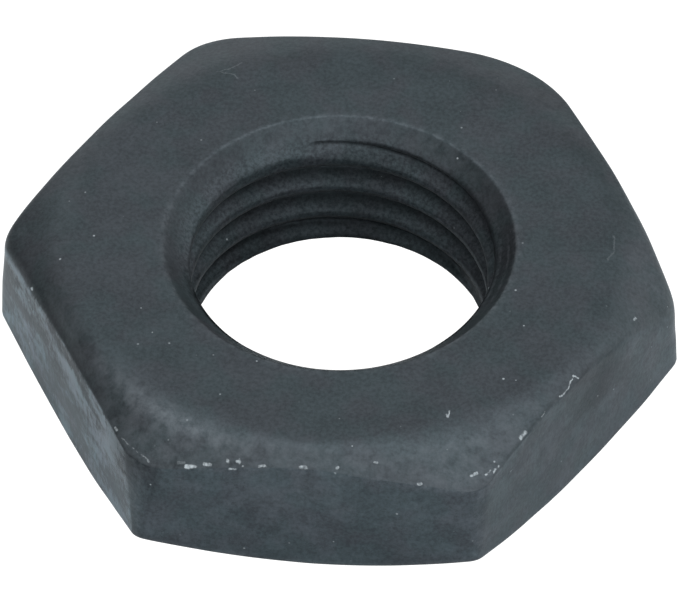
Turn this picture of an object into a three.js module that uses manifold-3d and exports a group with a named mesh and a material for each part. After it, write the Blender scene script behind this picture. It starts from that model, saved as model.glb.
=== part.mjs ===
// A thin hexagonal nut in dark finished steel, millimetres, +Z up.
//
// The nut is one piece of metal. Its origin is the centre of the lower bearing face, its thread
// axis is +Z, and one corner of the hexagon points along +X. Every other size follows from the
// driving dimensions below.

import * as THREE from 'three';
import { mergeVertices } from 'three/addons/utils/BufferGeometryUtils.js';
import Module from 'manifold-3d';

// Hexagon
const acrossFlats = 17.0;
const thickness = 4.8;
const cornerRadius = 0.4;

// Turned faces: each bearing face is a flat ring that a cone leaves at the hexagon's corners
const upperFaceDiameter = 15.9;
const upperChamferAngle = THREE.MathUtils.degToRad(30);
const lowerFaceDiameter = 15.3;
const lowerChamferAngle = THREE.MathUtils.degToRad(26.5);

// Right-hand thread: 3/8 inch with 24 turns to the inch
const inch = 25.4;
const pitch = inch / 24;
const majorDiameter = (inch * 3) / 8;
const minorDiameter = 8.45;
const grooveHeightAtPlusX = 0.75;
const grooveRootHalfWidth = pitch / 12;
const flankAngle = THREE.MathUtils.degToRad(30);

// Countersinks at 45 degrees to the axis, so each is as deep as it is wide
const upperCountersinkDiameter = 10.1;
const lowerCountersinkDiameter = 9.7;

// How finely round shapes are divided, and how close two points are when they count as one
const segmentsPerTurn = 72;
const cornerSegments = 3;
const weldDistance = 1e-5;

// How far a cutting tool runs past the nut, and past the bore's wall towards the axis
const toolOverrun = 1.0;
const mouthOverrun = 0.25;

const wasm = await Module();
wasm.setup();

// A closed three.js geometry, welded by position and without collapsed triangles, as a solid.
function toSolid(geometry) {
  geometry.deleteAttribute('normal');
  geometry.deleteAttribute('uv');
  const welded = mergeVertices(geometry, weldDistance);
  const corners = welded.index.array;
  const kept = [];
  for (let first = 0; first < corners.length; first += 3) {
    const [a, b, c] = corners.slice(first, first + 3);
    if (a !== b && b !== c && c !== a) kept.push(a, b, c);
  }
  const mesh = new wasm.Mesh({
    numProp: 3,
    vertProperties: new Float32Array(welded.attributes.position.array),
    triVerts: new Uint32Array(kept),
  });
  return new wasm.Manifold(mesh);
}

function toGeometry(solid) {
  const mesh = solid.getMesh();
  const geometry = new THREE.BufferGeometry();
  geometry.setAttribute('position', new THREE.BufferAttribute(mesh.vertProperties, 3));
  geometry.setIndex(new THREE.BufferAttribute(mesh.triVerts, 1));
  const faceted = geometry.toNonIndexed();
  faceted.computeVertexNormals();
  return faceted;
}

// A solid of revolution about +Z, from [radius, height] pairs that run upwards from axis to axis.
function turned(profile) {
  const points = profile.map(([radius, height]) => new THREE.Vector2(radius, height));
  const geometry = new THREE.LatheGeometry(points, segmentsPerTurn);
  geometry.rotateX(Math.PI / 2);
  return toSolid(geometry);
}

// The hexagonal bar, its six edges slightly rounded and one of them on +X.
function hexagonalBar() {
  const outline = new THREE.Shape();
  const arcCentreRadius = (acrossFlats / 2 - cornerRadius) / Math.cos(Math.PI / 6);
  for (let corner = 0; corner < 6; corner += 1) {
    const direction = (corner * Math.PI) / 3;
    const x = arcCentreRadius * Math.cos(direction);
    const y = arcCentreRadius * Math.sin(direction);
    outline.absarc(x, y, cornerRadius, direction - Math.PI / 6, direction + Math.PI / 6, false);
  }
  outline.closePath();
  const settings = { depth: thickness, bevelEnabled: false, curveSegments: cornerSegments };
  return toSolid(new THREE.ExtrudeGeometry(outline, settings));
}

// The turned blank whose two cones chamfer the hexagon's corners.
function chamferedBlank() {
  const outerRadius = acrossFlats / 2 / Math.cos(Math.PI / 6) + toolOverrun;
  const upperFaceRadius = upperFaceDiameter / 2;
  const lowerFaceRadius = lowerFaceDiameter / 2;
  const upperDrop = (outerRadius - upperFaceRadius) * Math.tan(upperChamferAngle);
  const lowerRise = (outerRadius - lowerFaceRadius) * Math.tan(lowerChamferAngle);
  return turned([
    [0, 0],
    [lowerFaceRadius, 0],
    [outerRadius, lowerRise],
    [outerRadius, thickness - upperDrop],
    [upperFaceRadius, thickness],
    [0, thickness],
  ]);
}

// What the drill and the countersinks take away before the thread is cut.
function drilledHole() {
  const boreRadius = minorDiameter / 2;
  const lowerRadius = lowerCountersinkDiameter / 2;
  const upperRadius = upperCountersinkDiameter / 2;
  return turned([
    [0, -toolOverrun],
    [lowerRadius + toolOverrun, -toolOverrun],
    [boreRadius, lowerRadius - boreRadius],
    [boreRadius, thickness - (upperRadius - boreRadius)],
    [upperRadius + toolOverrun, thickness + toolOverrun],
    [0, thickness + toolOverrun],
  ]);
}

// A right-hand helix about +Z whose cross sections stay square to the radius.
class ThreadHelix extends THREE.Curve {
  constructor(lowest, turns) {
    super();
    this.lowest = lowest;
    this.turns = turns;
  }

  getPoint(fraction, target = new THREE.Vector3()) {
    const angle = 2 * Math.PI * this.turns * fraction;
    const height = this.lowest + pitch * this.turns * fraction;
    return target.set(Math.cos(angle), Math.sin(angle), 0).multiplyScalar(minorDiameter / 2).setZ(height);
  }

  getPointAt(fraction, target) {
    return this.getPoint(fraction, target);
  }

  computeFrenetFrames(steps) {
    const frames = { tangents: [], normals: [], binormals: [] };
    for (let step = 0; step <= steps; step += 1) {
      const angle = (2 * Math.PI * this.turns * step) / steps;
      frames.tangents.push(new THREE.Vector3(-Math.sin(angle), Math.cos(angle), 0));
      frames.normals.push(new THREE.Vector3(Math.cos(angle), Math.sin(angle), 0));
      frames.binormals.push(new THREE.Vector3(0, 0, -1));
    }
    return frames;
  }
}

// The 60 degree groove that the tap cuts: narrow and flat at its root, open towards the axis.
function threadGroove() {
  const rootDepth = (majorDiameter - minorDiameter) / 2;
  const mouthHalfWidth = grooveRootHalfWidth + (rootDepth + mouthOverrun) * Math.tan(flankAngle);
  const section = new THREE.Shape([
    new THREE.Vector2(-mouthOverrun, -mouthHalfWidth),
    new THREE.Vector2(rootDepth, -grooveRootHalfWidth),
    new THREE.Vector2(rootDepth, grooveRootHalfWidth),
    new THREE.Vector2(-mouthOverrun, mouthHalfWidth),
  ]);
  const turnsBelow = Math.ceil((grooveHeightAtPlusX + toolOverrun) / pitch);
  const turnsAbove = Math.ceil((thickness + toolOverrun - grooveHeightAtPlusX) / pitch);
  const turns = turnsBelow + turnsAbove;
  const helix = new ThreadHelix(grooveHeightAtPlusX - turnsBelow * pitch, turns);
  return toSolid(new THREE.ExtrudeGeometry(section, { steps: turns * segmentsPerTurn, extrudePath: helix }));
}

function finishedSteel() {
  return new THREE.MeshStandardMaterial({ color: 0x4b5255, roughness: 0.5, metalness: 0.85 });
}

function nutBody() {
  const blank = hexagonalBar().intersect(chamferedBlank());
  const threaded = blank.subtract(drilledHole()).subtract(threadGroove());
  const body = new THREE.Mesh(toGeometry(threaded), finishedSteel());
  body.name = 'nut_body';
  return body;
}

const hexNut = new THREE.Group();
hexNut.name = 'hex_nut';
hexNut.add(nutBody());

export default hexNut;
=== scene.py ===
"""A thin hexagonal nut in dark phosphated steel, seen from above and in front on a pale floor."""

import math

import bpy
import numpy as np
from mathutils import Matrix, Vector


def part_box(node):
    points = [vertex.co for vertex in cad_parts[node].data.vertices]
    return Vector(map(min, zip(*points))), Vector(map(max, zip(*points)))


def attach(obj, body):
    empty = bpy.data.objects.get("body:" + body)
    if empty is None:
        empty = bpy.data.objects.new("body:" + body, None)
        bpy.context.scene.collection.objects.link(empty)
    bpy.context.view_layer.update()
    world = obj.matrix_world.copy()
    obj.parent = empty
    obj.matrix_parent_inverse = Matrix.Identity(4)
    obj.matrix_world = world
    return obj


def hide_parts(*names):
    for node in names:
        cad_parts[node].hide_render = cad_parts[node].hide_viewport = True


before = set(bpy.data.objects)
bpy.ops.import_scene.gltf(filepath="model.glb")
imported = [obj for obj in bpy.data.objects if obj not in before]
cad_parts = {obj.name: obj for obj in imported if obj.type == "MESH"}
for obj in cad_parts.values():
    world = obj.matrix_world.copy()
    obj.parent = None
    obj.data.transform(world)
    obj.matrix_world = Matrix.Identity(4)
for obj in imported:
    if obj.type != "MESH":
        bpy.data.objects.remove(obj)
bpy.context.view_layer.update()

# ---------------------------------------------------------------------------
# Sizes, in millimetres and degrees. Directions are measured from +X about +Z,
# so the nut's corners point to 0, 60, 120... and its sides face 30, 90, 150...
# A value that ends in RISE or FALL is a soft step: where it starts, and over how far it goes.
# ---------------------------------------------------------------------------
MM = 0.001
lowest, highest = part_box("nut_body")
ACROSS_FLATS = (highest.y - lowest.y) / MM
THICKNESS = (highest.z - lowest.z) / MM
FLAT_RADIUS = ACROSS_FLATS / 2

# Thread
PITCH = 25.4 / 24
MINOR_RADIUS = 4.225
MAJOR_RADIUS = 25.4 * 3 / 16
GROOVE_HEIGHT_AT_PLUS_X = 0.75
ROOT_HALF_WIDTH = PITCH / 12
FLANK_SLOPE = math.tan(math.radians(30))
MOUTH_HALF_WIDTH = ROOT_HALF_WIDTH + (MAJOR_RADIUS - MINOR_RADIUS) * FLANK_SLOPE

# Countersinks, both at 45 degrees
UPPER_COUNTERSINK_RADIUS = 5.05
LOWER_COUNTERSINK_RADIUS = 4.85
UPPER_RIM_SOFTNESS = 0.015
LOWER_RIM_SOFTNESS = 0.03
THREAD_MARGIN = 0.06

# The crests are rolled round and the roots narrow, more so as the share of the roll grows from
# 0 to 1, and the groove runs out under the upper countersink
ROLL_SHARE = 0.6
CREST_SOFTNESS = 0.15
ROOT_SOFTNESS = 0.08
RUN_OUT = 0.6
RUN_OUT_START = 3.7
RUN_OUT_LENGTH = 0.5
LIP_DEPTH = 0.35
LIP_RISE = (-0.12, 0.16)
FADE_START = 4.16
FADE_LENGTH = 0.16
TOP_OPENING = 0.12
TOP_OPENING_START = 3.2
LOWER_FILL = (0.88, 0.80, 0.45, 0.35, 0.35, 0.50, 0.80, 0.35, 0.35, 0.35, 0.35, 0.60)
LOWER_FILL_FALL = (1.3, 0.4)

# Turned faces. The upper one was cut a little off centre, towards the front.
UPPER_RING_RADIUS = 7.95
UPPER_RING_OFFSET = (0.0, -0.19)
LOWER_RING_RADIUS = 7.65

# How steeply each chamfer falls, at directions 0, 30, 60 ... 330: corner, side, corner ...
# All the lower values and seven of the upper ones are the rounded result of a least-squares fit.
UPPER_CHAMFER_SLOPES = (0.55, 0.48, 0.39, 0.33, 0.39, 0.50, 0.38, 1.75, 0.69, 1.45, 0.58, 0.54)
LOWER_CHAMFER_SLOPES = (0.49, 0.50, 0.50, 0.50, 0.50, 0.50, 0.36, 0.39, 0.42, 0.49, 0.51, 0.59)

# Two corners are cut down further: where, how much steeper, and over how many degrees
CUT_CORNERS = ((356.0, 0.30, 10.0), (184.0, 0.22, 8.0))

# How far the upper edge is rounded, at the same directions
UPPER_EDGE_ROUNDING = (0.60, 0.10, 0.10, 0.10, 0.10, 0.10, 0.35, 0.08, 0.10, 0.10, 0.10, 0.15)

# How pale the chamfer is in patches, how bright the painted highlight on the bend of the turned ring and
# on the countersink is, how much the upper edge is worn, and how dark the painted shade on the chamfer beside
# it is, at the same directions
CHAMFER_PALENESS = (0.35, 0.2, 0.4, 0.4, 0.4, 0.5, 0.05, 0.0, 1.3, 0.6, 1.3, 0.6)
RING_SHEEN = (0.0, 0.0, 0.1, 0.1, 0.1, 0.2, 0.5, 0.9, 2.2, 1.2, 0.4, 0.1)
COUNTERSINK_SHEEN = (0.0, 0.5, 0.9, 0.6, 0.60, 0.25, 0.0, 0.0, 0.0, 0.0, 0.0, 0.0)
EDGE_WEAR = (0.2, 0.7, 0.7, 0.7, 0.7, 0.5, 0.2, 0.1, 0.6, 0.6, 0.9, 0.2)
EDGE_SHADE = (0.0, 0.0, 0.0, 0.0, 0.0, 0.0, 0.8, 1.3, 0.8, 0.0, 0.0, 0.0)
EDGE_SHADE_REACH = 0.27

# Painted shade: how dark the upper countersink and the crests of the thread are, at the same directions,
# how dark the roots and the lowest turns are, and the dark line where the countersink ends at the front
COUNTERSINK_SHADE = (1.0, 0.6, 0.1, 0.0, 0.0, 0.15, 0.15, 0.0, 0.0, 0.0, 0.0, 0.3)
CREST_SHADE = (0.2, 0.0, 0.0, 1.0, 0.6, 0.2, 0.3, 0.3, 0.3, 0.3, 0.3, 0.3)
RIM_SHADE = 2.2
RIM_SHADE_REACH = 0.17
RIM_SHADE_RISE = (3.8, 0.1)
ROOT_SHADE = 1.4
DEEP_SHADE = 0.4
DEEP_SHADE_FALL = (2.4, 2.0)
CREST_SHADE_FALL = (4.2, 0.4)
COUNTERSINK_SHADE_RISE = (4.0, 0.2)
COUNTERSINK_SHEEN_RISE = (3.9, 0.4)
DARKEST = 2.2

# Painted shade in creases along the upper edge: middle direction, half the length in degrees, half the
# width and how dark
CREASES = ((237.0, 6.0, 0.05, 1.35), (336.0, 9.0, 0.04, 0.75))

# How far the wear reaches from an edge, how worn the vertical edges are, how bright the painted highlight
# on the thread's crests is, and how far sideways a crest has to face to carry it
EDGE_WEAR_REACH = 0.13
CORNER_WEAR = 0.45
CORNER_WEAR_REACH = 0.2
CREST_GLINT = 0.8
CREST_GLINT_REACH = 0.045
CREST_GLINT_RISE = (0.80, 0.15)

# Where the pale patches begin on the chamfer, past the ring, where the ring's bend with its painted highlight
# is and how wide, how wide the edge of the countersink is, and how far from a side the chamfer's colours stop
CHAMFER_PALENESS_RISE = (-0.1, 0.5)
RING_BEND_MIDDLE = 0.05
RING_BEND_REACH = 0.3
COUNTERSINK_EDGE = 0.04
SIDE_MARGIN = 0.02

# The vertical edges are rounder at the top than at the bottom, at corners 0, 60 ... 300. The
# first four upper values and the second and third lower ones are rounded from the same fit.
UPPER_CORNER_RADII = (1.7, 4.2, 2.2, 1.3, 2.3, 1.3)
LOWER_CORNER_RADII = (0.25, 0.6, 0.5, 0.25, 0.25, 0.25)
CORNER_GROWTH = 1.4


def around(values, angle):
    """Values given at even steps of direction, joined smoothly round the nut."""
    values = np.asarray(values)
    place = (angle % 360.0) / (360.0 / len(values))
    before = np.floor(place).astype(int) % len(values)
    share = 0.5 - 0.5 * np.cos(np.pi * (place - np.floor(place)))
    return values[before] * (1 - share) + values[(before + 1) % len(values)] * share


def nearest_corner(values, angle):
    return np.asarray(values)[np.round(angle / 60.0).astype(int) % 6]


def side_radius(angle, height):
    """Distance from the axis to the six sides, with their rounded vertical edges."""
    share = np.clip(height / THICKNESS, 0, 1) ** CORNER_GROWTH
    upper = nearest_corner(UPPER_CORNER_RADII, angle)
    lower = nearest_corner(LOWER_CORNER_RADII, angle)
    corner = lower + (upper - lower) * share
    from_corner = np.radians(np.abs((angle + 30.0) % 60.0 - 30.0))
    centre = (FLAT_RADIUS - corner) / math.cos(math.pi / 6)
    tangent = np.arctan2(corner * 0.5, centre + corner * math.cos(math.pi / 6))
    flat = FLAT_RADIUS / np.cos(math.pi / 6 - from_corner)
    inside = np.maximum(corner**2 - (centre * np.sin(from_corner)) ** 2, 0)
    arc = centre * np.cos(from_corner) + np.sqrt(inside)
    return np.where(from_corner < tangent, arc, flat)


def upper_ring_radius(angle):
    """Distance from the axis to the upper turned ring, whose centre is off the axis."""
    direction = np.radians(angle)
    across = UPPER_RING_OFFSET[0] * np.cos(direction) + UPPER_RING_OFFSET[1] * np.sin(direction)
    return UPPER_RING_RADIUS + across


def upper_slope(angle):
    """How steeply the upper chamfer falls."""
    slope = around(UPPER_CHAMFER_SLOPES, angle)
    for middle, extra, reach in CUT_CORNERS:
        away = (angle - middle + 180.0) % 360.0 - 180.0
        slope = slope + extra * np.exp(-((away / reach) ** 2))
    return slope


def upper_edge(angle):
    """Radius and height where the upper chamfer meets the sides."""
    height = np.full_like(angle, THICKNESS * 0.85)
    for _ in range(4):
        radius = side_radius(angle, height)
        reach = np.maximum(radius - upper_ring_radius(angle), 0)
        height = THICKNESS - reach * upper_slope(angle)
    return radius, height


def lower_edge(angle):
    """Radius and height where the lower chamfer meets the sides."""
    height = np.full_like(angle, THICKNESS * 0.1)
    for _ in range(4):
        radius = side_radius(angle, height)
        height = (radius - LOWER_RING_RADIUS) * around(LOWER_CHAMFER_SLOPES, angle)
    return radius, height


# ---------------------------------------------------------------------------
# The nut's surface: meridians all round, closest together where the eye looks
# ---------------------------------------------------------------------------
def meridian_angles():
    step = 0.05
    fine = np.arange(0.0, 360.0, step)
    spacing = np.full_like(fine, 1.1)
    spacing[(fine > 176) | (fine < 4)] = 0.75
    spacing[(fine > 236) & (fine < 304)] = 0.44
    total = np.cumsum(step / spacing)
    count = int(total[-1])
    return np.interp(np.arange(count) * total[-1] / count, total, fine)


def smooth_step(value):
    value = np.clip(value, 0, 1)
    return value * value * (3 - 2 * value)


def rising(value, step):
    """0 before the soft step and 1 after it."""
    start, length = step
    return smooth_step((value - start) / length)


def falling(value, step):
    """0 above the start of the soft step and 1 below its end."""
    start, length = step
    return smooth_step((start - value) / length)


def smooth_max(first, second, softness):
    return 0.5 * (first + second + np.sqrt((first - second) ** 2 + softness**2))


def from_groove(angle, height):
    """Height above the middle of the nearest turn of the groove; below it the value is negative."""
    centre = GROOVE_HEIGHT_AT_PLUS_X + PITCH * angle / 360.0
    return (height - centre + PITCH / 2) % PITCH - PITCH / 2


def groove_depth(angle, height):
    """0 on the crest and 1 at the root of the thread, with softened edges.

    Near the top the groove runs out: first it fills up, its lower flank the most, and then the
    whole groove fades. It starts shallow at the bottom too.
    """
    above = from_groove(angle, height)
    depth = (MOUTH_HALF_WIDTH - np.abs(above)) / (MOUTH_HALF_WIDTH - ROOT_HALF_WIDTH)
    filled = RUN_OUT * smooth_step((height - RUN_OUT_START) / RUN_OUT_LENGTH)
    filled = filled * (1 - LIP_DEPTH * rising(above, LIP_RISE))
    faded = smooth_step((height - above - FADE_START) / FADE_LENGTH)
    run_out = np.maximum(filled, faded)
    lower_fill = around(LOWER_FILL, angle) * falling(height, LOWER_FILL_FALL)
    run_out = np.maximum(run_out, lower_fill)
    crest = np.sqrt((depth - run_out) ** 2 + CREST_SOFTNESS**2)
    root = np.sqrt((depth - 1) ** 2 + ROOT_SOFTNESS**2)
    cut = 0.5 * (crest - root + 1 - run_out)
    roll = (1 - np.abs(np.sin(np.pi * above / PITCH))) * (1 - run_out)
    return cut + (roll - cut) * ROLL_SHARE


def thread_radius(angle, height):
    """The tapped wall: a 60 degree groove that winds up to the left."""
    opening = TOP_OPENING * smooth_step((height - TOP_OPENING_START) / (THICKNESS - TOP_OPENING_START))
    crest = MINOR_RADIUS + opening
    return crest + (MAJOR_RADIUS - crest) * groove_depth(angle, height)


def bore_radius(angle, height):
    """The thread, opened out by the two countersinks."""
    upper_cone = UPPER_COUNTERSINK_RADIUS - (THICKNESS - height)
    lower_cone = LOWER_COUNTERSINK_RADIUS - height
    wall = smooth_max(thread_radius(angle, height), upper_cone, UPPER_RIM_SOFTNESS)
    return smooth_max(wall, lower_cone, LOWER_RIM_SOFTNESS)


def groove_rows():
    """Places across one pitch, from the groove's centre, where the thread's wall bends."""
    half = [0.0]
    half += [ROOT_HALF_WIDTH + d for d in (-0.02, 0.015)]
    half += [ROOT_HALF_WIDTH + (MOUTH_HALF_WIDTH - ROOT_HALF_WIDTH) * s for s in (0.35, 0.68)]
    half += [MOUTH_HALF_WIDTH + d for d in (-0.035, 0.015, 0.065)]
    other_half = [PITCH - place for place in reversed(half[1:])]
    return np.array(half + [PITCH / 2] + other_half)


class SurfaceMesh:
    """Points and faces of one closed surface, with the numbers its material reads at each point."""

    def __init__(self):
        self.points = []
        self.faces = []
        self.wear_and_glint = []
        self.painted_shade = []
        self.pale_and_sheen = []
        self.count = 0

    def add_points(self, radius, angle, height, wear_and_glint, painted_shade, pale_and_sheen):
        """Adds points given by direction, distance from the axis and height. Returns the first's number."""
        direction = np.radians(angle)
        block = np.stack([radius * np.cos(direction), radius * np.sin(direction), height], -1)
        self.points.append(block.reshape(-1, 3))
        self.wear_and_glint.append(wear_and_glint.ravel())
        self.painted_shade.append(painted_shade.ravel())
        self.pale_and_sheen.append(pale_and_sheen.ravel())
        first = self.count
        self.count += block.size // 3
        return first


def bore_surface(mesh, angles, low_height, high_height):
    """Adds the threaded wall. Its rows follow the helix, so they meet one pitch higher at the seam.

    Returns the point numbers of the wall's lowest and highest ring, one per meridian.
    """
    rows = groove_rows()
    per_pitch = len(rows)
    first_turn = -int(math.ceil((GROOVE_HEIGHT_AT_PLUS_X + PITCH) / PITCH)) - 1
    turns = int(math.ceil(THICKNESS / PITCH)) + 4
    base = np.concatenate([rows + (first_turn + turn) * PITCH for turn in range(turns)])
    base = base + GROOVE_HEIGHT_AT_PLUS_X
    columns = []
    for angle in angles:
        heights = base + PITCH * angle / 360.0
        lowest_row = int(np.argmin(np.abs(heights - low_height)))
        highest_row = int(np.argmin(np.abs(heights - high_height)))
        heights = heights[lowest_row : highest_row + 1].copy()
        heights[0] = low_height
        heights[-1] = high_height
        spot = np.full_like(heights, angle)
        radius = bore_radius(spot, heights)
        from_edge = np.abs(from_groove(spot, heights)) - MOUTH_HALF_WIDTH
        sideways = abs(math.cos(math.radians(angle)))
        # Painted highlight: a pale line along the crest edges of the thread that face sideways
        on_crest_edge = np.exp(-((from_edge / CREST_GLINT_REACH) ** 2))
        wear_and_glint = CREST_GLINT * rising(sideways, CREST_GLINT_RISE) * on_crest_edge
        depth = np.clip(groove_depth(spot, heights), 0, 1)
        # Painted highlight on the upper countersink, carried onto the top of the thread
        pale_and_sheen = around(COUNTERSINK_SHEEN, spot) * rising(heights, COUNTERSINK_SHEEN_RISE) * (1 - depth)
        # Painted shade in the thread: the roots, the crests under the countersink, the countersink, the
        # lowest turns and the front rim
        painted_shade = ROOT_SHADE * depth
        on_crest = (1 - depth) * falling(heights, CREST_SHADE_FALL)
        painted_shade = painted_shade + around(CREST_SHADE, spot) * on_crest
        painted_shade = painted_shade + around(COUNTERSINK_SHADE, spot) * rising(heights, COUNTERSINK_SHADE_RISE)
        painted_shade = painted_shade + DEEP_SHADE * falling(heights, DEEP_SHADE_FALL)
        at_rim = np.exp(-(((radius - thread_radius(spot, heights)) / RIM_SHADE_REACH) ** 4))
        in_front = smooth_step(-2 * math.sin(math.radians(angle)))
        painted_shade = painted_shade + RIM_SHADE * in_front * at_rim * rising(heights, RIM_SHADE_RISE)
        painted_shade = np.minimum(painted_shade, DARKEST)
        first = mesh.add_points(radius, spot, heights, wear_and_glint, painted_shade, pale_and_sheen)
        columns.append((first, lowest_row, highest_row))

    def number(column, row):
        first, lowest_row, _ = column
        return first + row - lowest_row

    for index, left in enumerate(columns):
        if index + 1 < len(columns):
            right = columns[index + 1]
        else:
            first, lowest_row, highest_row = columns[0]
            right = (first, lowest_row - per_pitch, highest_row - per_pitch)
        start = max(left[1], right[1])
        stop = min(left[2], right[2])
        for row in range(start, stop):
            mesh.faces.append(
                (number(left, row), number(left, row + 1), number(right, row + 1), number(right, row))
            )
        for row in range(left[1], start):
            mesh.faces.append((number(left, row), number(left, row + 1), number(right, start)))
        for row in range(right[1], start):
            mesh.faces.append((number(left, start), number(right, row + 1), number(right, row)))
        for row in range(stop, left[2]):
            mesh.faces.append((number(left, row), number(left, row + 1), number(right, stop)))
        for row in range(stop, right[2]):
            mesh.faces.append((number(left, stop), number(right, row + 1), number(right, row)))
    low_ring = np.array([column[0] for column in columns])
    high_ring = np.array([column[0] + column[2] - column[1] for column in columns])
    return low_ring, high_ring


def outer_profile(angles):
    """The meridians from the upper countersink, over the outside, to the lower countersink.

    Each is a line with six bends between two ends. A bend has a setback, how far before and after
    it the surface starts to turn. Returns radius and height, one row per step and one column per meridian.
    """
    ones = np.ones_like(angles)
    edge_radius, edge_height = upper_edge(angles)
    foot_radius, foot_height = lower_edge(angles)
    high_cone = MAJOR_RADIUS + THREAD_MARGIN
    low_cone = MAJOR_RADIUS + THREAD_MARGIN / 2
    ring = upper_ring_radius(angles)
    corners = [
        (high_cone * ones, (THICKNESS - (UPPER_COUNTERSINK_RADIUS - high_cone)) * ones),
        (UPPER_COUNTERSINK_RADIUS * ones, THICKNESS * ones),
        (ring, THICKNESS * ones),
        (edge_radius, edge_height),
        (foot_radius, foot_height),
        (LOWER_RING_RADIUS * ones, 0 * ones),
        (LOWER_COUNTERSINK_RADIUS * ones, 0 * ones),
        (low_cone * ones, (LOWER_COUNTERSINK_RADIUS - low_cone) * ones),
    ]
    # Pale edges: a painted highlight on the rim of the upper countersink, and wear on the other edges
    edge_wear_and_glint = [0, 0.6, 0.12, around(EDGE_WEAR, angles), 0.6, 0.1, 0.4, 0]
    chamfer_length = np.hypot(edge_radius - ring, edge_height - THICKNESS)
    setbacks = [
        None,
        0.07 * ones,
        np.minimum(0.75, 0.62 * chamfer_length),
        np.minimum(around(UPPER_EDGE_ROUNDING, angles), 0.3 * chamfer_length),
        0.12 * ones,
        0.30 * ones,
        0.06 * ones,
        None,
    ]
    bend_steps = [0, 5, 10, 7, 5, 5, 4, 0]
    flat_steps = [3, 30, 7, 34, 7, 14, 2]

    def towards(start, end, distance):
        length = np.hypot(end[0] - start[0], end[1] - start[1])
        share = distance / length
        return start[0] + (end[0] - start[0]) * share, start[1] + (end[1] - start[1]) * share

    rows = []
    last = corners[0]
    for index in range(1, len(corners)):
        is_side = index == 4
        corner = corners[index]
        if setbacks[index] is None:
            before = corner
        else:
            before = towards(corner, corners[index - 1], setbacks[index])
        steps = flat_steps[index - 1]
        for step in range(1, steps + 1):
            share = step / steps
            radius = last[0] + (before[0] - last[0]) * share
            height = last[1] + (before[1] - last[1]) * share
            if is_side:
                radius = side_radius(angles, height)
            rows.append((radius, height))
        if setbacks[index] is None:
            break
        after = towards(corner, corners[index + 1], setbacks[index])
        if index == 3:
            after = (side_radius(angles, after[1]), after[1])
        for step in range(1, bend_steps[index] + 1):
            t = step / bend_steps[index]
            weights = ((1 - t) ** 2, 2 * t * (1 - t), t * t)
            radius = weights[0] * before[0] + weights[1] * corner[0] + weights[2] * after[0]
            height = weights[0] * before[1] + weights[1] * corner[1] + weights[2] * after[1]
            rows.append((radius, height))
        last = after
    radius = np.array([row[0] for row in rows])
    height = np.array([row[1] for row in rows])
    wear_and_glint = np.zeros_like(radius)
    for (corner_radius, corner_height), amount in zip(corners, edge_wear_and_glint):
        distance = np.hypot(radius - corner_radius, height - corner_height)
        wear_and_glint = np.maximum(wear_and_glint, amount * np.exp(-((distance / EDGE_WEAR_REACH) ** 2)))
    from_corner = np.radians(np.abs((angles + 30.0) % 60.0 - 30.0)) * radius
    on_side = smooth_step((height - 0.6) / 0.4) * smooth_step((THICKNESS - 0.4 - height) / 0.3)
    vertical = CORNER_WEAR * np.exp(-((from_corner / CORNER_WEAR_REACH) ** 2)) * on_side
    return radius, height, np.maximum(wear_and_glint, vertical)


def outer_surface(mesh, angles, low_ring, high_ring):
    """Adds everything outside the threaded wall and joins it to the wall's two rings."""
    radius, height, wear_and_glint = outer_profile(angles)
    radius, height, wear_and_glint = radius[:-1], height[:-1], wear_and_glint[:-1]
    spot = np.broadcast_to(angles, radius.shape)
    past_ring = radius - upper_ring_radius(spot)
    upper_half = smooth_step((height - THICKNESS / 2) / (THICKNESS / 8))
    inside_edge = radius < side_radius(spot, height) - SIDE_MARGIN
    on_chamfer = rising(past_ring, CHAMFER_PALENESS_RISE) * inside_edge
    ring_bend = np.exp(-(((past_ring - RING_BEND_MIDDLE) / RING_BEND_REACH) ** 2))
    in_countersink = smooth_step((UPPER_COUNTERSINK_RADIUS - radius) / COUNTERSINK_EDGE)
    # Pale patches on the chamfer, and a painted highlight on the ring's bend and in the countersink
    pale_and_sheen = around(CHAMFER_PALENESS, spot) * on_chamfer + around(RING_SHEEN, spot) * ring_bend
    pale_and_sheen = (pale_and_sheen + around(COUNTERSINK_SHEEN, spot) * in_countersink) * upper_half
    from_edge = upper_edge(angles)[0] - radius
    # Painted shade on the chamfer beside the upper edge, in the countersink and in the creases
    edge_shade = around(EDGE_SHADE, spot) * np.exp(-((from_edge / EDGE_SHADE_REACH) ** 2))
    painted_shade = edge_shade * upper_half * inside_edge
    painted_shade = painted_shade + around(COUNTERSINK_SHADE, spot) * in_countersink * upper_half
    for middle, half_length, half_width, darkness in CREASES:
        on_crease = np.exp(-((from_edge / half_width) ** 2)) * upper_half
        painted_shade = painted_shade + darkness * on_crease * np.exp(-(((spot - middle) / half_length) ** 4))
    first = mesh.add_points(radius, spot, height, wear_and_glint, painted_shade, pale_and_sheen)
    count = len(angles)
    grid = first + np.arange(radius.size).reshape(radius.shape)
    grid = np.vstack([high_ring, grid, low_ring])
    for upper, lower in zip(grid[:-1], grid[1:]):
        for index in range(count):
            beside = (index + 1) % count
            mesh.faces.append((upper[index], lower[index], lower[beside], upper[beside]))


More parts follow.
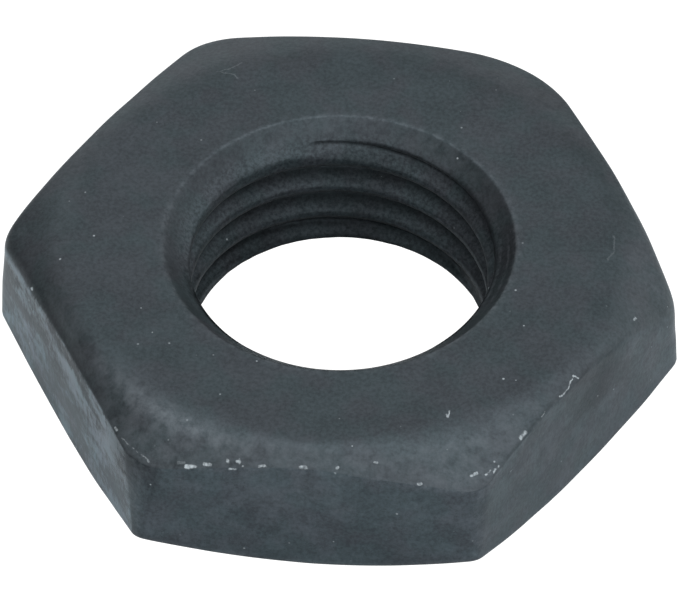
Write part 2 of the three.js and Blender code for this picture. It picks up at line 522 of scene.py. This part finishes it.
# ---------------------------------------------------------------------------
# Damage. A mark is a line on the surface, with half its width and how bare it is. Most of the
# places were cast onto the nut by a program from where the marks are seen, and then rounded.
# ---------------------------------------------------------------------------
# Nicks beside the upper edge: from one direction to another, how far in from the edge on the
# chamfer or, where that is below zero, how far under the edge on the side
EDGE_NICKS = (
    # the left edge and the front left corner
    (192.5, 193.0, 0.05, 0.055, 0.9),
    (232.0, 232.5, 0.10, 0.045, 0.6),
    (234.5, 241.5, 0.12, 0.025, 0.4),
    # the front edge
    (246.5, 247.5, 0.15, 0.050, 0.2),
    (248.0, 249.5, 0.05, 0.065, 1.0),
    (251.0, 252.0, 0.10, 0.065, 0.9),
    (255.0, 255.0, 0.15, 0.065, 0.8),
    (255.5, 256.5, -0.05, 0.060, 1.0),
    (257.0, 257.0, 0.15, 0.075, 0.8),
    (258.0, 258.0, 0.05, 0.040, 0.6),
    (261.0, 262.0, 0.05, 0.055, 0.9),
    (269.0, 270.0, 0.05, 0.070, 0.9),
    (272.5, 272.5, 0.05, 0.030, 0.6),
    (275.5, 275.5, 0.00, 0.060, 0.8),
    (276.0, 276.0, 0.10, 0.060, 0.8),
    (283.0, 283.5, 0.35, 0.040, 0.5),
    (290.5, 291.0, 0.05, 0.045, 0.6),
    # the front right corner
    (300.0, 301.0, 0.40, 0.050, 0.8),
    (302.5, 303.5, 0.20, 0.035, 0.8),
    (304.0, 305.5, 0.10, 0.035, 0.8),
    (311.5, 313.0, 0.10, 0.070, 0.8),
    (313.5, 315.0, 0.00, 0.040, 0.6),
    (317.5, 319.0, 0.05, 0.025, 0.7),
    # the right corner
    (350.0, 350.5, 0.30, 0.050, 0.7),
    # small ones lower down on the front and right sides
    (258.0, 258.5, -0.75, 0.030, 0.6),
    (308.5, 309.0, -0.70, 0.030, 0.5),
    (334.0, 334.5, -2.50, 0.030, 0.6),
)
# A crooked scratch over the right edge, as direction and distance in from the edge
EDGE_SCRATCH = ((329.5, 0.05), (329.0, 0.15), (327.5, 0.10), (325.5, 0.02), (323.5, 0.05))
EDGE_SCRATCH_WIDTH = 0.03
EDGE_SCRATCH_BARE = 0.9
# Fine scratches on the upper face: how bare, then places as direction and distance from the axis
FACE_SCRATCHES = (
    (0.15, (123.5, 7.75), (120.5, 7.70), (117.5, 7.80)),
    (0.15, (122.5, 7.65), (120.5, 7.40), (120.5, 7.20)),
    (0.12, (9.0, 7.85), (4.5, 7.85), (1.5, 7.65)),
    (0.90, (300.5, 7.35), (300.5, 7.50), (301.5, 7.30)),
)
FACE_SCRATCH_WIDTH = 0.03
DENT_SPREAD = 1.5
DENT_DEPTH_SHARE = 0.3

# How deep the surface is uneven: everywhere outside, more on the sides, finer there, and on the
# threaded wall; the shortest and longest wave of each; and how wide the even rim round the
# upper countersink is
FACE_SWELL = 0.004
SIDE_SWELL = 0.030
SIDE_RIPPLE = 0.008
WALL_RIPPLE = 0.012
SWELL_WAVES = (1.6, 5.0)
SIDE_WAVES = (0.5, 1.4)
WALL_WAVES = (0.35, 1.1)
WALL_RIPPLE_FALL = (3.8, 0.4)
SWELL_SEED = 11
SIDE_SEED = 12
WALL_SEED = 13
EVEN_RIM = 0.4


def point_at(direction, radius, height):
    direction = math.radians(direction)
    return np.array([radius * math.cos(direction), radius * math.sin(direction), height])


def on_top(direction, radius):
    """A point on the upper face or its chamfer."""
    radii, heights, _ = outer_profile(np.array([direction]))
    outermost = int(np.argmax(radii[:, 0])) + 1
    height = np.interp(radius, radii[:outermost, 0], heights[:outermost, 0])
    return point_at(direction, radius, float(height))


def beside_edge(direction, inward):
    """A point on the chamfer, this far in from the upper edge, or on the side under it."""
    angle = np.array([direction])
    radius, height = upper_edge(angle)
    if inward > 0:
        return on_top(direction, float(radius[0]) - inward)
    height = height + inward
    return point_at(direction, float(side_radius(angle, height)[0]), float(height[0]))


def all_marks():
    """Every mark as two ends in millimetres, half a width and how bare it is."""
    marks = []
    for start, end, inward, width, bare in EDGE_NICKS:
        marks.append((beside_edge(start, inward), beside_edge(end, inward), width, bare))
    for start, end in zip(EDGE_SCRATCH[:-1], EDGE_SCRATCH[1:]):
        marks.append((beside_edge(*start), beside_edge(*end), EDGE_SCRATCH_WIDTH, EDGE_SCRATCH_BARE))
    for bare, *places in FACE_SCRATCHES:
        points = [on_top(*place) for place in places]
        for start, end in zip(points[:-1], points[1:]):
            marks.append((start, end, FACE_SCRATCH_WIDTH, bare))
    return marks


def distance_to_line(points, start, end):
    along = end - start
    share = np.clip((points - start) @ along / max(along @ along, 1e-9), 0, 1)
    return np.linalg.norm(points - start - share[:, None] * along, axis=1)


def unevenness(points, seed, shortest, longest):
    """A gentle random swell between 0 and 1, from waves that run in many directions."""
    chance = np.random.default_rng(seed)
    total = np.zeros(len(points))
    waves = 14
    for _ in range(waves):
        direction = chance.normal(size=3)
        direction /= np.linalg.norm(direction)
        wavelength = chance.uniform(shortest, longest)
        phase = chance.uniform(0, 2 * math.pi)
        total += np.sin(points @ direction * 2 * math.pi / wavelength + phase)
    return 0.5 + 0.5 * np.tanh(total / math.sqrt(waves))


def weathered(points, normals):
    """The points pushed in, never out, by the forging's unevenness and by each dent."""
    sideways = 1 - np.abs(normals[:, 2])
    from_axis = np.hypot(points[:, 0], points[:, 1])
    outside = from_axis > UPPER_COUNTERSINK_RADIUS + EVEN_RIM
    swell = (FACE_SWELL + SIDE_SWELL * sideways) * outside
    depth = swell * unevenness(points, SWELL_SEED, *SWELL_WAVES)
    depth += SIDE_RIPPLE * sideways * outside * unevenness(points, SIDE_SEED, *SIDE_WAVES)
    on_wall = (from_axis < MAJOR_RADIUS) * falling(points[:, 2], WALL_RIPPLE_FALL)
    depth += WALL_RIPPLE * on_wall * unevenness(points, WALL_SEED, *WALL_WAVES)
    for start, end, width, bare in all_marks():
        distance = distance_to_line(points, start, end) / (width * DENT_SPREAD)
        depth += DENT_DEPTH_SHARE * width * bare * np.exp(-(distance**2))
    return points - normals * depth[:, None]


def build_nut():
    angles = meridian_angles()
    mesh = SurfaceMesh()
    low_height = LOWER_COUNTERSINK_RADIUS - (MAJOR_RADIUS + THREAD_MARGIN / 2)
    high_height = THICKNESS - (UPPER_COUNTERSINK_RADIUS - (MAJOR_RADIUS + THREAD_MARGIN))
    low_ring, high_ring = bore_surface(mesh, angles, low_height, high_height)
    outer_surface(mesh, angles, low_ring, high_ring)
    points = np.concatenate(mesh.points)
    data = bpy.data.meshes.new("nut")
    data.from_pydata((points * MM).tolist(), [], [tuple(int(n) for n in face) for face in mesh.faces])
    data.validate()
    normals = np.zeros(points.size)
    data.vertices.foreach_get("normal", normals)
    points = weathered(points, normals.reshape(-1, 3))
    data.vertices.foreach_set("co", (points * MM).ravel())
    data.polygons.foreach_set("use_smooth", [True] * len(data.polygons))
    for name, values in (("wear_and_glint", mesh.wear_and_glint), ("painted_shade", mesh.painted_shade), ("pale_and_sheen", mesh.pale_and_sheen)):
        attribute = data.attributes.new(name, "FLOAT", "POINT")
        attribute.data.foreach_set("value", np.concatenate(values))
    data.update()
    nut = bpy.data.objects.new("nut", data)
    bpy.context.scene.collection.objects.link(nut)
    return nut


# ---------------------------------------------------------------------------
# Materials
# ---------------------------------------------------------------------------
class NodeSheet:
    """Adds nodes to one node tree and joins them; a value may be a number, a tuple or a socket."""

    def __init__(self, tree):
        self.nodes = tree.nodes
        self.links = tree.links

    def put(self, socket, value):
        if isinstance(value, bpy.types.NodeSocket):
            self.links.new(value, socket)
        else:
            socket.default_value = value

    def math(self, operation, first, second=0.0, third=0.0):
        node = self.nodes.new("ShaderNodeMath")
        node.operation = operation
        self.put(node.inputs[0], first)
        self.put(node.inputs[1], second)
        self.put(node.inputs[2], third)
        return node.outputs[0]

    def vector(self, operation, first, second, output="Vector"):
        node = self.nodes.new("ShaderNodeVectorMath")
        node.operation = operation
        self.put(node.inputs[0], first)
        self.put(node.inputs[1], second)
        return node.outputs[output]

    def scaled(self, vector, amount):
        node = self.nodes.new("ShaderNodeVectorMath")
        node.operation = "SCALE"
        self.put(node.inputs[0], vector)
        self.put(node.inputs["Scale"], amount)
        return node.outputs["Vector"]

    def noise(self, place, scale, detail=2.0, roughness=0.5):
        node = self.nodes.new("ShaderNodeTexNoise")
        self.put(node.inputs["Vector"], place)
        self.put(node.inputs["Scale"], scale)
        self.put(node.inputs["Detail"], detail)
        self.put(node.inputs["Roughness"], roughness)
        return node.outputs["Fac"]

    def ramp(self, value, low, high, bottom=0.0, top=1.0):
        """A soft step from bottom to top as the value goes from low to high."""
        node = self.nodes.new("ShaderNodeMapRange")
        node.interpolation_type = "SMOOTHSTEP"
        for name, number in (("From Min", low), ("From Max", high), ("To Min", bottom), ("To Max", top)):
            self.put(node.inputs[name], number)
        self.put(node.inputs["Value"], value)
        return node.outputs["Result"]

    def blend(self, share, first, second):
        node = self.nodes.new("ShaderNodeMix")
        node.data_type = "RGBA"
        self.put(node.inputs[0], share)
        self.put(node.inputs[6], first)
        self.put(node.inputs[7], second)
        return node.outputs[2]

    def number(self, name):
        node = self.nodes.new("ShaderNodeAttribute")
        node.attribute_name = name
        return node.outputs["Fac"]


def mark_group():
    """A node group: 1 on a line from Start to End, fading to 0 at Half Width."""
    group = bpy.data.node_groups.new("mark", "ShaderNodeTree")
    for name, kind in (
        ("Place", "NodeSocketVector"),
        ("Start", "NodeSocketVector"),
        ("End", "NodeSocketVector"),
        ("Half Width", "NodeSocketFloat"),
    ):
        group.interface.new_socket(name, in_out="INPUT", socket_type=kind)
    group.interface.new_socket("Mask", in_out="OUTPUT", socket_type="NodeSocketFloat")
    sheet = NodeSheet(group)
    given = group.nodes.new("NodeGroupInput").outputs
    result = group.nodes.new("NodeGroupOutput").inputs["Mask"]
    away = sheet.vector("SUBTRACT", given["Place"], given["Start"])
    along = sheet.vector("SUBTRACT", given["End"], given["Start"])
    reach = sheet.vector("DOT_PRODUCT", away, along, "Value")
    length = sheet.math("MAXIMUM", sheet.vector("DOT_PRODUCT", along, along, "Value"), 1e-6)
    share = sheet.math("DIVIDE", reach, length)
    share = sheet.math("MINIMUM", sheet.math("MAXIMUM", share, 0.0), 1.0)
    nearest = sheet.scaled(along, share)
    distance = sheet.vector("DISTANCE", away, nearest, "Value")
    relative = sheet.math("DIVIDE", distance, given["Half Width"])
    sheet.put(result, sheet.ramp(relative, 0.45, 1.15, 1.0, 0.0))
    return group


def marks_mask(sheet, place):
    """How bare the metal is at a place because of the marks."""
    group = mark_group()
    wobble = sheet.nodes.new("ShaderNodeTexNoise")
    sheet.put(wobble.inputs["Vector"], place)
    sheet.put(wobble.inputs["Scale"], 7.0)
    sheet.put(wobble.inputs["Detail"], 2.0)
    shift = sheet.scaled(sheet.vector("SUBTRACT", wobble.outputs["Color"], (0.5, 0.5, 0.5)), 0.13)
    moved = sheet.vector("ADD", place, shift)
    total = 0.0
    for start, end, width, bare in all_marks():
        node = sheet.nodes.new("ShaderNodeGroup")
        node.node_tree = group
        sheet.put(node.inputs["Place"], moved)
        sheet.put(node.inputs["Start"], tuple(start))
        sheet.put(node.inputs["End"], tuple(end))
        sheet.put(node.inputs["Half Width"], width)
        total = sheet.math("MAXIMUM", total, sheet.math("MULTIPLY", node.outputs["Mask"], bare))
    return total


def dust_mask(sheet, place):
    """A few pale specks of dust, of different sizes."""
    cells = sheet.nodes.new("ShaderNodeTexVoronoi")
    sheet.put(cells.inputs["Vector"], place)
    sheet.put(cells.inputs["Scale"], 2.3)
    pick = sheet.nodes.new("ShaderNodeSeparateColor")
    sheet.put(pick.inputs[0], cells.outputs["Color"])
    size = sheet.ramp(pick.outputs[0], 0.45, 1.0, 0.0, 0.115)
    relative = sheet.math("DIVIDE", cells.outputs["Distance"], sheet.math("ADD", size, 0.0005))
    speck = sheet.ramp(relative, 0.3, 1.0, 1.0, 0.0)
    return sheet.math("MULTIPLY", speck, sheet.ramp(pick.outputs[1], 0.0, 1.0, 0.25, 0.9))


# The ways the left, front and right sides face, and the way the smears are drawn out
FACING_LEFT = (-0.866, -0.5, 0)
FACING_FRONT = (0, -1, 0)
FACING_RIGHT = (0.866, -0.5, 0)
SMEAR_DIRECTION = (0.5, -0.866, 0)

COOL_COAT = (0.0165, 0.0212, 0.0222, 1)
WARM_COAT = (0.0200, 0.0198, 0.0220, 1)
WEAR_AND_SHEEN_COAT = (0.098, 0.103, 0.110, 1)
DUST_COLOR = (0.45, 0.47, 0.48, 1)
BARE_STEEL = (0.44, 0.46, 0.47, 1)
FACE_GLOSS_TINT = (0.86, 1, 1.09, 1)
SIDE_GLOSS_TINT = (0.75, 0.97, 1.12, 1)


def dark_steel():
    """Dark phosphated steel: a mottled satin coat, paler where worn and in patches, with painted highlights
    and painted shade, and bare where nicked.
    """
    material = bpy.data.materials.new("dark_steel_with_painted_light")
    material.use_nodes = True
    sheet = NodeSheet(material.node_tree)
    shader = sheet.nodes["Principled BSDF"]
    position = sheet.nodes.new("ShaderNodeTexCoord").outputs["Object"]
    place = sheet.scaled(position, 1 / MM)
    facing = sheet.nodes.new("ShaderNodeNewGeometry").outputs["Normal"]
    upright = sheet.vector("DOT_PRODUCT", facing, (0, 0, 1), "Value")
    on_side = sheet.ramp(sheet.math("ABSOLUTE", upright), 0.15, 0.5, 1.0, 0.0)
    outward = sheet.vector("DISTANCE", sheet.vector("MULTIPLY", place, (1, 1, 0)), (0, 0, 0), "Value")
    outside = sheet.ramp(outward, 6.5, 7.5)
    leftward = sheet.vector("DOT_PRODUCT", facing, FACING_LEFT, "Value")
    forward = sheet.vector("DOT_PRODUCT", facing, FACING_FRONT, "Value")
    left_corner = sheet.math("MULTIPLY", sheet.ramp(forward, 0.54, 0.66), sheet.ramp(leftward, 0.52, 0.62))
    left = sheet.math("MULTIPLY", sheet.ramp(leftward, 0.86, 0.98), sheet.math("SUBTRACT", 1.0, left_corner))
    right = sheet.ramp(sheet.vector("DOT_PRODUCT", facing, FACING_RIGHT, "Value"), 0.6, 1.0)
    outer_side = sheet.math("MULTIPLY", on_side, outside)

    grain = sheet.noise(place, 9.0, 3.0, 0.65)
    mottle = sheet.noise(place, 0.8, 3.0, 0.55)
    tint = sheet.ramp(sheet.noise(sheet.vector("ADD", place, (31, 7, 19)), 0.9, 2.0), 0.38, 0.62)
    along = sheet.math("MULTIPLY", sheet.vector("DOT_PRODUCT", place, SMEAR_DIRECTION, "Value"), -0.6)
    drawn = sheet.vector("ADD", place, sheet.scaled(SMEAR_DIRECTION, along))
    wrinkle = sheet.noise(sheet.vector("MULTIPLY", place, (4.5, 4.5, 1.8)), 1.6, 4.0, 0.7)
    smear = sheet.math("MULTIPLY_ADD", wrinkle, 0.45, sheet.noise(drawn, 1.3, 6.0, 0.65))
    smear = sheet.ramp(smear, 0.66, 0.88)
    smear = sheet.math("MULTIPLY", smear, outer_side)
    smear = sheet.math("MULTIPLY", smear, sheet.math("MULTIPLY_ADD", left, 0.88, 0.12))

    painted_shade = sheet.number("painted_shade")
    wear_and_glint = sheet.number("wear_and_glint")
    broken = sheet.ramp(sheet.noise(place, 4.0, 4.0, 0.7), 0.4, 0.65)
    wear_and_glint = sheet.math("MULTIPLY", wear_and_glint, broken)
    crumbled = sheet.ramp(sheet.noise(place, 14.0, 2.0), 0.35, 0.6, 0.45, 1.0)
    bare = sheet.math("MULTIPLY", marks_mask(sheet, place), crumbled)
    dust = dust_mask(sheet, place)

    mottled = sheet.ramp(mottle, 0.3, 0.7, -0.08, 0.08)
    tone = sheet.math("ADD", sheet.ramp(grain, 0.25, 0.75, 0.80, 1.20), mottled)
    tone = sheet.math("ADD", tone, sheet.math("MULTIPLY", smear, 2.7))
    # Painted shade: the rounded corner between the left and front sides is darker
    tone = sheet.math("ADD", tone, sheet.math("MULTIPLY", sheet.math("MULTIPLY", left_corner, on_side), -0.2))
    height = sheet.vector("DOT_PRODUCT", place, (0, 0, 1), "Value")
    # Painted light and shade on the sides: the left one is paler low down and darker near the top, and the
    # right one is paler low down
    low_left = sheet.math("MULTIPLY", left, sheet.ramp(height, 1.0, 3.8, 0.5, -0.5))
    low_right = sheet.math("MULTIPLY", right, sheet.ramp(height, 0.5, 2.2, 0.22, 0.0))
    painted_side_light = sheet.math("MULTIPLY", sheet.math("ADD", low_left, low_right), outer_side)
    tone = sheet.math("ADD", tone, painted_side_light)
    coarse = sheet.ramp(sheet.noise(place, 9.0, 3.0, 0.7), 0.3, 0.7, 0.0, 0.5)
    coarse = sheet.math("MULTIPLY", coarse, sheet.ramp(outward, 4.45, 4.8, 1.0, 0.0))
    tone = sheet.math("ADD", tone, coarse)
    # Painted shade: the coat and its reflections are darkened by the shade numbers set on the mesh
    tone = sheet.math("MULTIPLY", tone, sheet.math("MULTIPLY_ADD", painted_shade, -0.4, 1.0))
    # Painted shade under overhangs: faces in the bore that look down are darker
    painted_overhang_shade = sheet.ramp(upright, -0.5, 0.6, 0.38, 1.0)
    painted_overhang_shade = sheet.blend(sheet.ramp(outward, 4.6, 5.0), painted_overhang_shade, (1, 1, 1, 1))
    tone = sheet.math("MULTIPLY", tone, painted_overhang_shade)
    coat = sheet.blend(tint, COOL_COAT, WARM_COAT)
    coat = sheet.scaled(coat, tone)
    cloud = sheet.ramp(sheet.noise(place, 2.6, 5.0, 0.65), 0.32, 0.68, 0.35, 1.65)
    # The pale coat covers worn edges and pale patches, and it also makes the painted highlights on the
    # crests, the ring's bend and the countersink
    pale_and_sheen = sheet.math("MULTIPLY", sheet.math("MULTIPLY", sheet.number("pale_and_sheen"), cloud), 0.22)
    pale = sheet.math("MAXIMUM", sheet.math("MULTIPLY", wear_and_glint, 0.55), pale_and_sheen)
    coat = sheet.blend(pale, coat, WEAR_AND_SHEEN_COAT)
    coat = sheet.blend(sheet.math("MULTIPLY", dust, 0.8), coat, DUST_COLOR)
    coat = sheet.blend(bare, coat, BARE_STEEL)
    sheet.put(shader.inputs["Base Color"], coat)
    sheet.put(shader.inputs["Metallic"], sheet.math("MULTIPLY", bare, 0.5))
    sheet.put(shader.inputs["Specular IOR Level"], sheet.math("MULTIPLY", tone, 0.5))
    gloss_tint = sheet.blend(on_side, FACE_GLOSS_TINT, SIDE_GLOSS_TINT)
    sheet.put(shader.inputs["Specular Tint"], gloss_tint)
    roughness = sheet.ramp(mottle, 0.25, 0.75, 0.43, 0.51)
    smoother = sheet.math("MULTIPLY", outer_side, sheet.math("SUBTRACT", 1.0, right))
    roughness = sheet.math("MULTIPLY_ADD", smoother, -0.10, roughness)
    roughness = sheet.math("SUBTRACT", roughness, sheet.math("MULTIPLY", wear_and_glint, 0.08))
    roughness = sheet.math("ADD", roughness, sheet.ramp(painted_shade, 1.5, 2.2, 0.0, 0.5))
    sheet.put(shader.inputs["Roughness"], roughness)

    relief = sheet.math("ADD", grain, sheet.math("MULTIPLY", smear, 2.0))
    bump = sheet.nodes.new("ShaderNodeBump")
    sheet.put(bump.inputs["Strength"], 1.0)
    sheet.put(bump.inputs["Distance"], 0.006 * MM)
    sheet.put(bump.inputs["Height"], relief)
    sheet.put(shader.inputs["Normal"], bump.outputs["Normal"])
    return material


# ---------------------------------------------------------------------------
# Studio
# ---------------------------------------------------------------------------
# The camera's direction and shift are the rounded result of a least-squares fit to the outline.
# The lens is that fit's too, made slightly longer afterwards.
CAMERA_AZIMUTH = math.radians(6.17)
CAMERA_ELEVATION = math.radians(46.20)
CAMERA_ROLL = math.radians(0.21)
CAMERA_DISTANCE = 25.0 * ACROSS_FLATS
VIEW_TARGET_HEIGHT = 2.516
SENSOR_WIDTH = 36.0
LENS = 785.8
LENS_SHIFT = (0.0012, -0.0031)

# Soft lamps round the nut: where each one is (0 is the camera's side, 90 the right), how high
# in degrees, and how bright. The brightnesses are rounded from a least-squares fit of the tones.
LAMPS = (
    (0, 90, 2.0),
    (240, 68, 0.95),
    (120, 68, 1.3),
    (0, 20, 1.7),
    (40, 20, 2.0),
    (320, 20, 0.75),
    (120, 20, 1.6),
    (200, 20, 0.95),
)
LAMP_SHARPNESS = 9.0
LAMP_COLOR = (0.93, 1.0, 1.04, 1)

# The floor, in metres, and how bright the camera sees it and the backdrop
FLOOR_HALF_SIZE = 2.0
BACKDROP_BRIGHTNESS = 1.2


def add_camera():
    azimuth, elevation = CAMERA_AZIMUTH, CAMERA_ELEVATION
    back = np.array(
        [
            math.sin(azimuth) * math.cos(elevation),
            -math.cos(azimuth) * math.cos(elevation),
            math.sin(elevation),
        ]
    )
    level = np.array([math.cos(azimuth), math.sin(azimuth), 0.0])
    rise = np.cross(back, level)
    right = math.cos(CAMERA_ROLL) * level + math.sin(CAMERA_ROLL) * rise
    up = -math.sin(CAMERA_ROLL) * level + math.cos(CAMERA_ROLL) * rise
    place = (np.array([0.0, 0.0, VIEW_TARGET_HEIGHT]) + back * CAMERA_DISTANCE) * MM
    data = bpy.data.cameras.new("camera")
    data.sensor_width = SENSOR_WIDTH
    data.lens = LENS
    data.shift_x, data.shift_y = LENS_SHIFT
    data.clip_start = 0.01
    data.clip_end = 10.0
    camera = bpy.data.objects.new("camera", data)
    rows = [[right[axis], up[axis], back[axis], place[axis]] for axis in range(3)]
    camera.matrix_world = Matrix([*rows, [0, 0, 0, 1]])
    bpy.context.scene.collection.objects.link(camera)
    bpy.context.scene.camera = camera


def add_floor():
    """A pale floor that the nut's sides mirror and that the camera sees as plain white."""
    half = FLOOR_HALF_SIZE
    corners = [(-half, -half, 0), (half, -half, 0), (half, half, 0), (-half, half, 0)]
    data = bpy.data.meshes.new("floor")
    data.from_pydata(corners, [], [(0, 1, 2, 3)])
    floor = bpy.data.objects.new("floor", data)
    bpy.context.scene.collection.objects.link(floor)
    material = bpy.data.materials.new("pale_floor")
    material.use_nodes = True
    sheet = NodeSheet(material.node_tree)
    matt = sheet.nodes["Principled BSDF"]
    sheet.put(matt.inputs["Base Color"], (0.8, 0.8, 0.8, 1))
    sheet.put(matt.inputs["Roughness"], 0.9)
    glow = sheet.nodes.new("ShaderNodeEmission")
    sheet.put(glow.inputs["Strength"], BACKDROP_BRIGHTNESS)
    seen = sheet.nodes.new("ShaderNodeLightPath")
    mix = sheet.nodes.new("ShaderNodeMixShader")
    sheet.put(mix.inputs[0], seen.outputs["Is Camera Ray"])
    sheet.put(mix.inputs[1], matt.outputs[0])
    sheet.put(mix.inputs[2], glow.outputs[0])
    sheet.put(sheet.nodes["Material Output"].inputs["Surface"], mix.outputs[0])
    data.materials.append(material)


def add_lamps():
    """The studio's soft lamps, painted on the sky."""
    world = bpy.data.worlds.new("studio")
    bpy.context.scene.world = world
    world.use_nodes = True
    sheet = NodeSheet(world.node_tree)
    background = sheet.nodes["Background"]
    toward = sheet.nodes.new("ShaderNodeTexCoord").outputs["Generated"]
    total = 0.0
    for azimuth, elevation, brightness in LAMPS:
        azimuth, elevation = math.radians(azimuth), math.radians(elevation)
        lamp = (
            math.sin(azimuth) * math.cos(elevation),
            -math.cos(azimuth) * math.cos(elevation),
            math.sin(elevation),
        )
        near = sheet.math("MAXIMUM", sheet.vector("DOT_PRODUCT", toward, lamp, "Value"), 0.0)
        glow = sheet.math("MULTIPLY", sheet.math("POWER", near, LAMP_SHARPNESS), brightness)
        total = sheet.math("ADD", total, glow)
    seen = sheet.nodes.new("ShaderNodeLightPath").outputs["Is Camera Ray"]
    sheet.put(background.inputs["Color"], LAMP_COLOR)
    backdrop = sheet.math("MULTIPLY", seen, BACKDROP_BRIGHTNESS)
    sheet.put(background.inputs["Strength"], sheet.math("MAXIMUM", total, backdrop))


bpy.context.scene.view_settings.view_transform = "Standard"
nut = build_nut()
nut.data.materials.append(dark_steel())
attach(nut, "root")
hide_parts("nut_body")
add_floor()
add_lamps()
add_camera()
